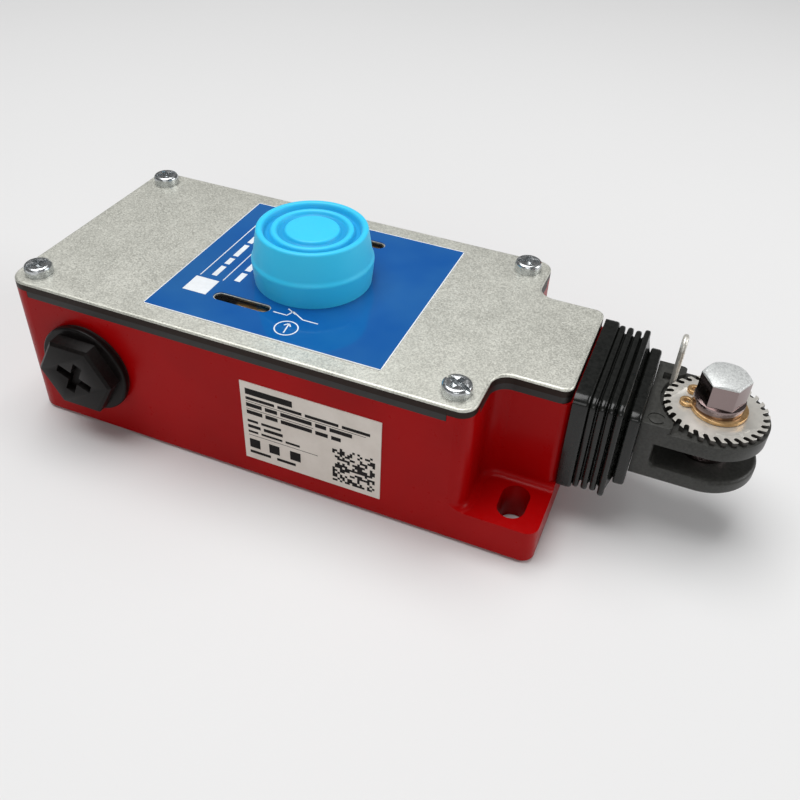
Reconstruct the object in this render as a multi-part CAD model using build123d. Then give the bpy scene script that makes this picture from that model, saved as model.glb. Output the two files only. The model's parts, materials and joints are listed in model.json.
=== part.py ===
from build123d import *
import math
import os

os.makedirs("parts", exist_ok=True)

# Emergency-stop rope-pull switch, in millimetres.
# Origin: centre of the mounting footprint, on the mounting face. +X points to the pull head, +Z up.

# overall sizes
body_length = 146.0
body_width = 70.0
cover_top = 42.0
neck_length = 18.6
neck_width = 36.0
pull_height = 26.3

# allowances shared by all pieces
run_clear = 0.05
past = 1.0  # how far a cutting tool runs past the face that it cuts

# housing
wall = 3.5
floor = 3.5
left_corner_r = 5.3
lobe_r = 4.0
hollow_r = 4.5
neck_r = 2.5
least_r = 0.8
neck_wall = 7.0
neck_floor = 14.0
ear_height = 10.5
ear_corner_r = 3.2
ear_fillet = 2.0
ear_root = 12.0
slot_length = 11.5
slot_width = 7.0
slot_edge = 9.0
slot_from_end = 8.1
base_edge = 0.8
boss_r = 7.2
pad_r = 4.7

# cover, its seal and its screws
cover_thick = 2.4
cover_edge = 0.7
cover_setback = 0.6
gasket_thick = 1.8
gasket_width = 3.3
gasket_clear = 0.1
screw_r = 2.0
screw_clear = 0.2
screw_length = 15.0
screw_end_gap = 1.0
screw_inset = 6.0
screw_head_r = 3.6
screw_head_h = 2.7
screw_head_round = 0.9
screw_slot = (1.2, 1.2)  # width, depth
screw_cross = (4.4, 1.4, 1.7)  # length, width, depth
screw_turns = [50, 60, 18, -25]

# label and windows on the cover, label on the side
label_length = 65.0
label_margin = 5.5
label_thick = 0.25
label_corner_r = 0.8
label_x = -2.4
window_length = 15.6
window_width = 3.0
window_gap = 0.3
window_places = [(-12.8, -18.7), (0.7, 22.4)]
lens_flange = 1.2
lens_flange_h = 1.0
side_label_length = 38.0
side_label_height = 25.4
side_label_x = 14.1
side_label_z = 19.0

# cable entries and blanking plug
entry_from_end = 21.7
entry_z = 21.0
entry_r = 10.0
entry_depth = 8.0
entry_boss_wall = 3.2
plug_rim = 2.8
plug_flange_h = 1.6
plug_edge = 0.6
plug_hex_h = 4.2
plug_hex_edge = 0.7
plug_flat_cut = 0.2
plug_wall = 2.0
plug_end_h = 2.0
plug_cross = (10.4, 2.6, 2.2)  # length, width, depth
plug_turn = 25.0
plug_seal_h = 1.0
plug_seal_inset = 0.5

# reset button: boot
button_x = -2.0
boot_r = 16.0
boot_top_r = 14.3
boot_height = 14.8
boot_wall = 1.6
boot_roof = 2.0
boot_skirt_h = 7.6
boot_shoulder = (0.7, 1.2)  # in, up
boot_channels = [(12.6, 10.8), (8.7, 7.0)]
boot_channel_depth = 0.7
boot_channel_slope = 0.2

# reset button: sleeve, plunger, clip and spring
sleeve_r = 12.0
sleeve_flange_h = 1.75
sleeve_lip = 1.2
nut_r = 15.0
nut_sides = 12
piston_r = 8.0
piston_clear = 0.3
stem_r = 3.0
reset_travel = 2.5
cap_r = 12.3
cap_wall = 1.3
cap_thick = 2.0
cap_play = 0.2
cap_clear = 0.7
clip_r = 4.8
clip_thick = 0.6
clip_mouth = 3.0
clip_groove_r = 2.2
foot_r = 2.6
foot_h = 0.4
tip_r = 1.0
tip_gap = 0.2
reset_spring_turns = 4
reset_spring_wire = 1.1
reset_spring_gap = 1.5

# bellows; each ring is its distance from the flange, its inset across and its inset upwards
flange_x = 3.7
bellows_half = 18.4
bellows_rise = 14.5
bellows_length = 15.6
bellows_corner_r = 3.0
bellows_rings = [(0.9, 0.5, 1.3), (3.0, 0.5, 2.2), (5.1, 0.7, 2.0), (7.0, 0.2, 0.9)]
bellows_ring_w = 1.4
bellows_core = (2.9, 3.6)
bellows_hollow = (6.4, 6.0)
bellows_hollow_r = 2.0
bellows_end = (15.2, 11.3, 2.8)  # half width, half height, thickness

# clevis
clevis_gap = 0.1
clevis_half = 12.9
ear_drop = 7.7
ear_rise = 7.0
fork_drop = 3.9
fork_rise = 3.2
fork_back = 4.2
fork_heel_r = 1.9
fork_rim_r = 1.0
spindle_back = 15.5
platform_rise = 1.7
platform_back = 6.9
platform_clear = 0.9
platform_corner_r = 1.0
mark_place = (3.0, -10.2)
mark_r = 2.1
mark_width = 0.4
mark_depth = 0.3
mark_mouth = 1.6
shank_r = 8.0
shank_length = 9.0
shaft_seat = 2.4
cross_pin_r = 1.5
cross_pin_back = 4.6
cross_pin_short = 0.3

# spindle, with its drum, seat, groove and hexagon
spindle_r = 6.0
seat_cut = 0.8
groove_depth = 0.7
drum_step = 0.3
drum_gap = 0.1
drum_flutes = 24
flute_r = 0.35
flute_end = 0.75
journal_r = 4.0
journal_reach = 1.6
lower_ring_rim = 1.9
lower_ring_mouth = 4.0
lower_ring_gap = 0.3
lower_ring_thick = 0.8
hex_flats = 10.0
hex_rise = 4.9
hex_h = 6.6
hex_turn = 3.0
hex_crown_r = 4.75
hex_crown_angle = 30.0
rope_hole_r = 2.2

# ratchet wheel and retaining ring
wheel_r = 12.3
wheel_teeth = 30
wheel_thick = 1.4
wheel_gap = 0.1
gap_r = 0.6
gap_depth = 1.7
gap_lean = 32.0
arrow_r = 9.3
arrow_width = 0.6
arrow_rise = 0.12
arrow_half_angle = 26.0
arrow_angles = [-58.0, 122.0]
circlip_gap = 0.1
circlip_rim = 0.75
circlip_shift = 0.45
circlip_thick = 0.9
circlip_turn = -12.0
circlip_mouth = 2.2
lug_r = 1.7
lug_hole_r = 0.75
lug_reach = 0.3
lug_angle = 22.5

# wire pawl
wire_r = 0.75
wire_gap = 0.08
wire_y = 6.9
wire_span = 4.5
wire_rise = 12.3
wire_lift = 0.15
pawl_swing = 18.0
pawl_clear = 0.5
pivot_depth = 2.4
pivot_end_gap = 0.2

# pull shaft, its bush, rings, collar and main spring
shaft_r = 5.0
shaft_from_end = 9.0
shaft_edge = 0.8
pull_travel = 15.0
bush_r = 7.5
bush_flange = 1.5
bush_lip = 2.5
ring_thick = 1.0
ring_groove = 0.8
ring_rim = 2.5
ring_mouth = 3.4
collar_thick = 2.0
collar_r = 9.5
main_spring_turns = 8
main_spring_wire = 1.8
main_spring_gap = 2.6

# mechanism frame and its screws
frame_thick = 1.5
frame_from_end = 17.0
frame_from_neck = 24.4
frame_half = 20.0
post_from_end = 24.0
post_thick = 6.0
post_half = 9.0
post_rise = 9.0
cheek_y = 13.0
cheek_thick = 2.0
cheek_half = 4.5
cheek_rise = 2.2
frame_screw_r = 1.5
frame_screw_depth = 2.7
frame_screw_gap = 0.2
frame_screw_in = (4.0, 3.5)
frame_screw_head = (2.8, 1.8)  # radius, height
small_slot = (0.8, 0.8)  # width, depth

# cam carriage; its ramp drives the contact plungers
carriage_x0 = -22.0
carriage_x1 = 28.0
carriage_half = 9.0
carriage_open = 1.5
carriage_step = (1.0, 2.5)  # length, rise
ramp_lead = 2.0
ramp_tail = 3.0
ramp_ratio = 0.16
ramp_gap = 0.25
nose_slot = 1.6

# contact block
contact_x0 = -22.0
contact_x1 = 18.0
contact_half = 11.5
contact_gap = 0.5
contact_lid_half = 12.0
contact_roof = 1.6
contact_floor = 0.8
chamber_half = (10.0, 2.8)
plunger_y = 5.5
plunger_w = 4.0
plunger_drop = 2.2
plunger_round = 1.6
plunger_foot = 2.2
bridge_half = (9.0, 1.1)
bridge_drop = 1.2
bridge_thick = 1.0
strip_drop = 4.0
strip_thick = 0.8
strip_half = 2.2
strip_gap = 6.5
terminal_in = 3.6
terminal_hole = 1.5
terminal_head = (2.6, 1.6)  # radius, height
terminal_end_gap = 0.5
contact_spring_turns = 3
contact_spring_r = 1.5
contact_spring_wire = 0.45

# latch
lever_pin_x = 17.0
lever_rise = 3.0
lever_thick = 1.2
lever_half = 5.0
lever_end = 2.0
nose_x = 26.2
nose_tip = 0.8
nose_half = 8.2
nose_inner = 5.6
nose_root = 4.0
nose_gap = 0.4
hub_r = 2.5
latch_gap = 1.5
lever_pin_r = 1.5
pin_head = (1.0, 1.0)  # rim, thickness
latch_spring_y = [-12.7, 8.7]
latch_spring_length = 4.0
latch_spring_turns = 4
latch_spring_r = 2.1
latch_spring_wire = 0.6

# indicator flags
arm_x0 = -13.0
arm_x1 = -8.0
arm_reach = 25.0
arm_rise = 0.5
flag_half = 2.2
flag_gap = 0.8
flag_thick = 0.6
flag_back = 2.6

# earth terminal
earth_from_frame = 8.5
earth_y = 14.0
earth_top = 8.0
earth_boss_r = 4.5
earth_hole = 7.0
earth_clamp_half = (4.5, 3.6)
earth_clamp_thick = 1.2
earth_head = (3.5, 2.2)  # radius, height
earth_slot = (1.0, 1.0)  # width, depth

# heights and places that follow from the sizes above
x_left = -body_length / 2
x_right = body_length / 2
x_wide = x_right - neck_length
half = body_width / 2
neck_half = neck_width / 2
cover_low = cover_top - cover_thick
wall_top = cover_low - gasket_thick
cover_end = x_right - cover_setback
screw_x0 = x_left + screw_inset
screw_x1 = x_wide - screw_inset
screw_y = half - screw_inset
screw_places = [(x, s * screw_y) for x in (screw_x0, screw_x1) for s in (1, -1)]
slot_x = x_right - slot_from_end
slot_spacing = body_width - 2 * slot_edge
label_top = cover_top + label_thick
label_width = body_width - 2 * label_margin
plate_top = floor + frame_thick
ear_low = pull_height - ear_drop
ear_top = pull_height + ear_rise
fork_low = pull_height - fork_drop
fork_high = pull_height + fork_rise
platform_top = ear_top + platform_rise
hex_low = ear_top + hex_rise
hex_top = hex_low + hex_h
wire_top = ear_top + wire_rise
wheel_low = ear_top + wheel_gap
wheel_top = wheel_low + wheel_thick
circlip_low = wheel_top + circlip_gap
flange_end = x_right + flange_x
bellows_x = x_right + bellows_length
end_flange_x = bellows_x - bellows_end[2]
clevis_x = bellows_x + clevis_gap
entry_x = x_left + entry_from_end
entry_boss_r = entry_r + entry_boss_wall
plug_flange_r = entry_r + plug_rim
plug_low = -half - plug_seal_h
plug_hex_flats = 2 * (entry_r - plug_flat_cut)
boot_top = label_top + boot_height
sleeve_top = label_top + sleeve_flange_h
cap_top = boot_top - boot_roof - cap_play
flag_low = cover_low - lens_flange_h - flag_gap - flag_thick
drum_r = spindle_r + drum_step
groove_r = spindle_r - groove_depth
circlip_r = spindle_r + circlip_rim
seat_flats = 2 * (spindle_r - seat_cut)
hex_corner_r = hex_flats / math.sqrt(3)
lower_ring_top = ear_low - lower_ring_gap
lower_ring_low = lower_ring_top - lower_ring_thick
frame_x0 = x_left + frame_from_end
frame_x1 = x_wide - frame_from_neck
post_x = x_left + post_from_end
shaft_left = x_left + shaft_from_end
plunger_top = pull_height - shaft_r - plunger_drop
contact_top = plunger_top - ramp_ratio * pull_travel - contact_gap
strip_low = contact_top - strip_drop
strip_top = strip_low + strip_thick
lever_bottom = pull_height + shaft_r + lever_rise
lever_top = lever_bottom + lever_thick
pin_z = lever_bottom + lever_thick / 2
sleeve_bottom = lever_top + latch_gap
clip_low = sleeve_bottom - clip_thick
ring_groove_r = shaft_r - ring_groove
ring_places = (carriage_x0 - ring_thick, carriage_x1)
carriage_top = pull_height + shaft_r - carriage_open
earth_place = (frame_x1 + earth_from_frame, earth_y)
cross_pin_x = clevis_x - cross_pin_back
fork_x = clevis_x + fork_back
spindle_x = clevis_x + spindle_back
platform_x = clevis_x + platform_back
wire_x = spindle_x - math.sqrt((wheel_r + wire_r + wire_gap) ** 2 - wire_y ** 2)


def part(name, shape):
    """Writes one sub-part under its own name."""
    shape.label = name
    export_step(shape, "parts/" + name + ".step")
    return shape


def box(x0, x1, y0, y1, z0, z1):
    size = (x1 - x0, y1 - y0, z1 - z0)
    return Pos((x0 + x1) / 2, (y0 + y1) / 2, (z0 + z1) / 2) * Box(*size)


def rod(x, y, z0, z1, r):
    return Pos(x, y, (z0 + z1) / 2) * Cylinder(r, z1 - z0)


def rod_x(x0, x1, y, z, r):
    return Pos((x0 + x1) / 2, y, z) * Rot(0, 90, 0) * Cylinder(r, x1 - x0)


def rod_y(y0, y1, x, z, r):
    return Pos(x, (y0 + y1) / 2, z) * Rot(90, 0, 0) * Cylinder(r, y1 - y0)


def slab(face, z0, z1):
    return extrude(Pos(0, 0, z0) * face, z1 - z0)


def revolved(x, points):
    """Turned part about an upright axis at x, from radius and height pairs."""
    face = make_face(Plane.XZ * Polyline(points, close=True))
    return Pos(x, 0, 0) * revolve(face, Axis.Z)


def rounded_x(x0, x1, a, b, r):
    """Rounded box with its section across X: half width a, half height b."""
    plane = Plane((x0, 0, pull_height), x_dir=(0, 1, 0), z_dir=(1, 0, 0))
    return extrude(plane * RectangleRounded(2 * a, 2 * b, r), x1 - x0)


def spring(x, y, z, length, turns, r, wire, axis="Z"):
    """Round-wire compression spring that starts at a point and runs along an axis."""
    run = length - wire
    path = Helix(run / turns, run, r)
    start = Plane(origin=path @ 0, z_dir=path % 0)
    coil = sweep(start * Circle(wire / 2), path=path, is_frenet=True)
    turn = {"Z": Rot(0, 0, 0), "X": Rot(0, 90, 0), "Y": Rot(-90, 0, 0)}[axis]
    return Pos(x, y, z) * turn * Pos(0, 0, wire / 2) * coil


def slotted_screw(x, y, tip, seat, r, head, slot):
    """Cheese-head screw with a driver slot, its head standing on the seat."""
    top = seat + head[1]
    screw = rod(x, y, tip, seat, r) + rod(x, y, seat, top, head[0])
    return screw - Pos(x, y, top) * Box(2 * head[0] + past, slot[0], 2 * slot[1])


def outline(end_x, inset):
    """Plan of the body: a wide box that narrows to a neck, moved in by the inset."""
    a = half - inset
    b = neck_half - inset
    x0 = x_left + inset
    x1 = x_wide - inset
    points = [(x0, -a), (x1, -a), (x1, -b), (end_x, -b), (end_x, b), (x1, b), (x1, a), (x0, a)]
    face = make_face(Polyline(points, close=True))
    radii = [(x0, a, left_corner_r - inset), (x1, a, lobe_r - inset), (x1, b, hollow_r + inset),
             (end_x, b, neck_r - inset)]
    for x, y, r in radii:
        corners = [v for v in face.vertices() if abs(v.X - x) < 1e-4 and abs(abs(v.Y) - y) < 1e-4]
        face = fillet(corners, max(r, least_r))
    return face


def pads(r, grow):
    """Raised corners that carry the cover screws, filled out to the body's edge."""
    shape = None
    reach = screw_inset + past
    for x, y in screw_places:
        sx = -1 if x < 0 else 1
        sy = 1 if y > 0 else -1
        disc = Pos(x, y) * Circle(r + grow)
        corner = Pos(x + sx * (reach - grow) / 2, y + sy * (reach - grow) / 2)
        corner = corner * Rectangle(reach + grow, reach + grow)
        shape = disc + corner if shape is None else shape + disc + corner
    return shape


def window(place, grow):
    return Pos(*place) * SlotOverall(window_length + 2 * grow, window_width + 2 * grow)


def ear_pocket():
    """Space above the mounting ears, with a rounded foot against the body."""
    start = x_wide - ear_root
    margin = 2 * ear_fillet + past
    plan = Pos(start, 0) * Rectangle(x_right - start + margin, 2 * (half + margin),
                                     align=(Align.MIN, Align.CENTER))
    plan -= outline(x_right + 2 * margin, 0)
    space = slab(plan, ear_height, cover_top)
    foot = [e for e in space.edges().group_by(Axis.Z)[0]
            if abs(e.center().Y) < half + past and start + past < e.center().X < x_right + margin - past]
    return fillet(foot, ear_fillet)


def housing():
    start = x_wide - ear_root
    ears = Pos((start + x_right) / 2, 0) * Rectangle(x_right - start, body_width)
    tips = [v for v in ears.vertices() if v.X > x_wide]
    body = slab(fillet(tips, ear_corner_r), 0, ear_height + ear_fillet)
    body -= ear_pocket()
    body += slab(outline(x_right, 0), 0, wall_top)
    low = [e for e in body.edges() if abs(e.center().Z) < 1e-4]
    body = chamfer(low, base_edge)
    cavity = slab(outline(x_right - neck_wall, wall), floor, cover_top)
    cavity -= box(x_wide - wall, x_right, -half, half, 0, neck_floor)
    body -= cavity
    whole = outline(x_right, 0)
    for x, y in screw_places:
        body += slab(whole & (Pos(x, y) * Circle(boss_r)), floor, wall_top)
    body += slab(whole & pads(pad_r, 0), wall_top - past, cover_low)
    for s in (-1, 1):
        inner, skin, outer = s * (half - entry_depth), s * (half - past), s * (half + past)
        body += rod_y(min(inner, skin), max(inner, skin), entry_x, entry_z, entry_boss_r)
        inner -= s * past
        body -= rod_y(min(inner, outer), max(inner, outer), entry_x, entry_z, entry_r)
        slot = Pos(slot_x, s * slot_spacing / 2) * SlotOverall(slot_length, slot_width, rotation=90)
        body -= slab(slot, -past, ear_height + past)
    for x, y in screw_places:
        body -= rod(x, y, cover_top - screw_length, cover_top, screw_r)
    for x, y in frame_screw_places():
        body -= rod(x, y, floor - frame_screw_depth, floor + past, frame_screw_r)
    body -= rod_x(x_right - neck_wall - past, x_right + past, 0, pull_height, bush_r)
    x, y = earth_place
    body += rod(x, y, floor - past / 2, earth_top, earth_boss_r)
    body -= rod(x, y, earth_top - earth_hole, earth_top + past, screw_r)
    part("housing", body)


def cover():
    body = slab(outline(cover_end, 0), cover_low, cover_top)
    top = [e for e in body.edges() if abs(e.center().Z - cover_top) < 1e-4]
    body = fillet(top, cover_edge)
    for x, y in screw_places:
        body -= rod(x, y, cover_low - past, cover_top + past, screw_r + screw_clear)
    body -= rod(button_x, 0, cover_low - past, cover_top + past, sleeve_r)
    for place in window_places:
        body -= slab(window(place, 0), cover_low - past, cover_top + past)
    part("cover", body)


def gasket():
    whole = outline(cover_end, 0)
    ring = whole - outline(cover_end - gasket_width, gasket_width)
    for x, y in screw_places:
        ring += whole & (Pos(x, y) * Circle(boss_r))
    ring -= pads(pad_r, gasket_clear)
    part("cover_gasket", slab(ring, wall_top, cover_low))


def cover_screws():
    """Four pan-head screws, each with a slot and a cross recess in its own turn."""
    top = cover_top + screw_head_h
    length, width, depth = screw_cross
    group = []
    for (x, y), turn in zip(screw_places, screw_turns):
        head = rod(x, y, cover_top, top, screw_head_r)
        head = fillet(head.edges().filter_by(GeomType.CIRCLE).group_by(Axis.Z)[-1], screw_head_round)
        shank = rod(x, y, cover_top - screw_length + screw_end_gap, cover_top, screw_r)
        driver = Pos(x, y, top) * Rot(0, 0, turn)
        screw = head + shank - driver * Box(2 * screw_head_r + past, screw_slot[0], 2 * screw_slot[1])
        for side in (0, 90):
            screw -= driver * Rot(0, 0, side) * Box(length, width, 2 * depth)
        group.append(screw)
    part("cover_screws", Compound(children=group))


def label():
    sheet = Pos(label_x, 0) * RectangleRounded(label_length, label_width, label_corner_r)
    sheet -= Pos(button_x, 0) * Circle(sleeve_r)
    for place in window_places:
        sheet -= window(place, window_gap)
    part("cover_label", slab(sheet, cover_top, label_top))


def window_lenses():
    group = []
    for place in window_places:
        lens = slab(window(place, 0), cover_low, cover_top)
        lens += slab(window(place, lens_flange), cover_low - lens_flange_h, cover_low)
        group.append(lens)
    part("window_lenses", Compound(children=group))


def side_label():
    a = side_label_length / 2
    b = side_label_height / 2
    body = box(side_label_x - a, side_label_x + a, -half - label_thick, -half,
               side_label_z - b, side_label_z + b)
    part("side_label", body)


def plug():
    y1 = plug_low - plug_flange_h
    body = rod_y(y1, plug_low, entry_x, entry_z, plug_flange_r)
    body = fillet(body.edges().filter_by(GeomType.CIRCLE).group_by(Axis.Y)[0], plug_edge)
    hexagon = Plane((entry_x, y1, entry_z), x_dir=(1, 0, 0), z_dir=(0, -1, 0))
    head = extrude(hexagon * RegularPolygon(plug_hex_flats / 2, 6, major_radius=False), plug_hex_h)
    body += chamfer(head.edges().group_by(Axis.Y)[0], plug_hex_edge)
    body += rod_y(plug_low, -half + entry_depth, entry_x, entry_z, entry_r)
    body -= rod_y(plug_low + plug_end_h, -half + entry_depth + past, entry_x, entry_z, entry_r - plug_wall)
    length, width, depth = plug_cross
    for a, b in ((length, width), (width, length)):
        body -= Pos(entry_x, y1 - plug_hex_h, entry_z) * Rot(0, plug_turn, 0) * Box(a, 2 * depth, b)
    part("blanking_plug", body)


def plug_seal():
    body = rod_y(plug_low, -half, entry_x, entry_z, plug_flange_r - plug_seal_inset)
    body -= rod_y(plug_low - past, -half + past, entry_x, entry_z, entry_r)
    part("plug_seal", body)


def reset_boot():
    inner = boot_r - boot_wall
    skirt = label_top + boot_skirt_h
    shoulder = skirt + boot_shoulder[1]
    points = [(inner, label_top), (boot_r, label_top), (boot_r, skirt), (boot_r - boot_shoulder[0], shoulder),
              (boot_top_r, boot_top)]
    slope = boot_channel_slope
    bottom = boot_top - boot_channel_depth
    for outer_r, inner_r in boot_channels:
        points += [(outer_r + slope, boot_top), (outer_r - slope, bottom), (inner_r + slope, bottom),
                   (inner_r - slope, boot_top)]
    roof = boot_top - boot_roof
    points += [(0, boot_top), (0, roof), (boot_top_r - boot_wall, roof), (inner, skirt)]
    part("reset_boot", revolved(button_x, points))


def reset_sleeve():
    bore = piston_r + run_clear
    guide = stem_r + run_clear
    lip = sleeve_bottom + sleeve_lip
    rim = boot_r - boot_wall
    points = [(guide, sleeve_bottom), (sleeve_r, sleeve_bottom), (sleeve_r, label_top), (rim, label_top),
              (rim, sleeve_top), (bore, sleeve_top), (bore, lip), (guide, lip)]
    part("reset_sleeve", revolved(button_x, points))


def sleeve_nut():
    ring = Pos(button_x, 0) * RegularPolygon(nut_r, nut_sides, major_radius=True)
    ring -= Pos(button_x, 0) * Circle(sleeve_r)
    part("sleeve_nut", slab(ring, sleeve_bottom, cover_low))


def reset_plunger():
    cap_low = sleeve_top + reset_travel + cap_clear
    cap_roof = cap_top - cap_thick
    piston_low = sleeve_bottom + sleeve_lip + reset_travel + piston_clear
    tip = lever_top + tip_gap
    foot = clip_low - foot_h
    points = [(0, tip), (tip_r, tip), (tip_r, foot), (foot_r, foot), (foot_r, clip_low),
              (clip_groove_r, clip_low), (clip_groove_r, sleeve_bottom), (stem_r, sleeve_bottom),
              (stem_r, piston_low), (piston_r, piston_low), (piston_r, cap_roof), (cap_r - cap_wall, cap_roof),
              (cap_r - cap_wall, cap_low), (cap_r, cap_low), (cap_r, cap_top), (0, cap_top)]
    part("reset_plunger", revolved(button_x, points))


def reset_clip():
    ring = Pos(button_x, 0) * (Circle(clip_r) - Circle(clip_groove_r))
    ring -= Pos(button_x, 0) * Rectangle(2 * clip_r, clip_mouth, align=(Align.MAX, Align.CENTER))
    part("reset_clip", slab(ring, clip_low, sleeve_bottom))


def reset_spring():
    length = cap_top - cap_thick - sleeve_top
    coil = spring(button_x, 0, sleeve_top, length, reset_spring_turns, piston_r + reset_spring_gap,
                  reset_spring_wire)
    part("reset_spring", coil)


def bellows():
    half_ring = bellows_ring_w / 2
    middle = flange_end + half_ring
    body = rounded_x(x_right, flange_end, bellows_half, bellows_rise, bellows_corner_r)
    body += rounded_x(flange_end, end_flange_x, bellows_half - bellows_core[0], bellows_rise - bellows_core[1],
                      bellows_corner_r)
    for along, across, up in bellows_rings:
        x = flange_end + along
        body += rounded_x(x - half_ring, x + half_ring, bellows_half - across, bellows_rise - up,
                          bellows_corner_r)
    body += rounded_x(end_flange_x, bellows_x, bellows_end[0], bellows_end[1], bellows_corner_r)
    body -= rounded_x(x_right - past, end_flange_x, bellows_half - bellows_hollow[0],
                      bellows_rise - bellows_hollow[1], bellows_hollow_r)
    body -= rod_x(middle, bellows_x + past, 0, pull_height, shank_r)
    part("bellows", body)


def front_bush():
    inner = x_right - neck_wall
    body = rod_x(inner, x_right, 0, pull_height, bush_r)
    body += rod_x(inner - bush_flange, inner, 0, pull_height, bush_r + bush_lip)
    body -= rod_x(inner - bush_flange - past, x_right + past, 0, pull_height, shaft_r + run_clear)
    part("front_bush", body)


def pull_shaft():
    body = rod_x(shaft_left, clevis_x + shaft_seat, 0, pull_height, shaft_r)
    body = chamfer(body.edges().group_by(Axis.X)[0], shaft_edge)
    for x in ring_places:
        groove = rod_x(x, x + ring_thick, 0, pull_height, shaft_r + past)
        body -= groove - rod_x(x, x + ring_thick, 0, pull_height, ring_groove_r)
    body -= rod_y(-shank_r, shank_r, cross_pin_x, pull_height, cross_pin_r)
    part("pull_shaft", body)


def platform():
    """Raised step behind the wheel, cut back around the wheel's rim."""
    step = Pos(clevis_x, 0) * Rectangle(platform_back, 2 * clevis_half, align=(Align.MIN, Align.CENTER))
    step -= Pos(spindle_x, 0) * Circle(wheel_r + platform_clear)
    tips = [v for v in step.vertices() if v.X > platform_x - 0.1 and abs(v.Y) > clevis_half - 0.1]
    return slab(fillet(tips, platform_corner_r), ear_top, platform_top)


def clevis():
    plan = Pos(clevis_x, 0) * Rectangle(spindle_back, 2 * clevis_half, align=(Align.MIN, Align.CENTER))
    plan += Pos(spindle_x, 0) * Circle(clevis_half)
    body = slab(plan, ear_low, ear_top)
    fork = box(fork_x, spindle_x + clevis_half + past, -half, half, fork_low, fork_high)
    heel = fork.edges().filter_by(Axis.Y).group_by(Axis.Z)[0].sort_by(Axis.X)[0]
    body -= fillet(heel, fork_heel_r)
    rims = [e for e in body.edges().filter_by(GeomType.CIRCLE)
            if abs(e.center().Z - fork_low) < 1e-3 or abs(e.center().Z - ear_low) < 1e-3]
    body = fillet(rims, fork_rim_r)
    body += platform()
    swing = wire_span * math.sin(math.radians(pawl_swing)) + pawl_clear
    room = wire_r + pawl_clear
    body -= box(wire_x - wire_r - swing, wire_x + 2 * room, wire_y - room, wire_y + room + wire_r / 2,
                ear_top, platform_top + past)
    body -= rod(wire_x, wire_y + wire_span, ear_top - pivot_depth, platform_top + past, wire_r + run_clear)
    mark = Circle(mark_r) - Circle(mark_r - mark_width)
    mark -= Rectangle(2 * mark_r, mark_mouth, align=(Align.MIN, Align.CENTER))
    mark = Pos(clevis_x + mark_place[0], mark_place[1]) * mark
    body -= slab(mark, platform_top - mark_depth, platform_top + past)
    body += rod_x(clevis_x - shank_length, clevis_x, 0, pull_height, shank_r)
    body -= rod_x(clevis_x - shank_length - past, clevis_x + shaft_seat, 0, pull_height, shaft_r)
    body -= rod_y(-shank_r - past, shank_r + past, cross_pin_x, pull_height, cross_pin_r)
    body -= rod(spindle_x, 0, fork_high - past, platform_top, drum_r + run_clear)
    body -= rod(spindle_x, 0, ear_low - past, fork_low + past, journal_r + run_clear)
    part("clevis", body)


def cross_pin():
    reach = shank_r - cross_pin_short
    part("cross_pin", rod_y(-reach, reach, cross_pin_x, pull_height, cross_pin_r))


def seat_face():
    """Section with two flats, shared by the spindle and the wheel."""
    return Pos(spindle_x, 0) * (Circle(spindle_r) & Rectangle(2 * spindle_r, seat_flats))


def crowned_hexagon():
    """Spanner hexagon whose top corners are turned away in a cone."""
    prism = slab(Pos(spindle_x, 0) * RegularPolygon(hex_corner_r, 6, rotation=hex_turn), hex_low, hex_top)
    rim_r = hex_corner_r + past
    rim_z = hex_top - (rim_r - hex_crown_r) * math.tan(math.radians(hex_crown_angle))
    crown = [(0, hex_low), (rim_r, hex_low), (rim_r, rim_z), (hex_crown_r, hex_top), (0, hex_top)]
    return prism & revolved(spindle_x, crown)


def spindle():
    drum_low = fork_low + drum_gap
    collar_low = circlip_low + circlip_thick
    body = rod(spindle_x, 0, drum_low, ear_top, drum_r)
    for k in range(drum_flutes):
        a = 2 * math.pi * k / drum_flutes
        body -= rod(spindle_x + drum_r * math.cos(a), drum_r * math.sin(a), drum_low + flute_end,
                    fork_high - flute_end, flute_r)
    body += slab(seat_face(), ear_top, circlip_low)
    body += rod(spindle_x, 0, circlip_low, collar_low, groove_r)
    body += rod(spindle_x, 0, collar_low, hex_low, spindle_r)
    body += crowned_hexagon()
    body += rod(spindle_x, 0, ear_low - journal_reach, drum_low, journal_r)
    groove = rod(spindle_x, 0, lower_ring_low, lower_ring_top, journal_r + past)
    body -= groove - rod(spindle_x, 0, lower_ring_low, lower_ring_top, journal_r - groove_depth)
    body -= rod_y(-drum_r - past, drum_r + past, spindle_x, (fork_low + fork_high) / 2, rope_hole_r)
    part("tension_spindle", body)


def ratchet_wheel():
    disc = Pos(spindle_x, 0) * Circle(wheel_r) - seat_face()
    gaps = []
    for k in range(wheel_teeth):
        root = Pos(spindle_x, 0) * Rot(0, 0, 360 * k / wheel_teeth) * Pos(wheel_r - gap_depth + gap_r, 0)
        mouth = Rectangle(2 * gap_depth, 2 * gap_r, align=(Align.MIN, Align.CENTER))
        gaps += [root * Circle(gap_r), root * Rot(0, 0, gap_lean) * mouth]
    disc -= gaps
    body = slab(disc, wheel_low, wheel_top)
    for a in arrow_angles:
        mark = Circle(arrow_r + arrow_width / 2) - Circle(arrow_r - arrow_width / 2)
        reach = wheel_r * math.tan(math.radians(arrow_half_angle))
        mark &= make_face(Polyline((0, 0), (wheel_r, -reach), (wheel_r, reach), close=True))
        body += slab(Pos(spindle_x, 0) * Rot(0, 0, a) * mark, wheel_top, wheel_top + arrow_rise)
    part("ratchet_wheel", body)


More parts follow.
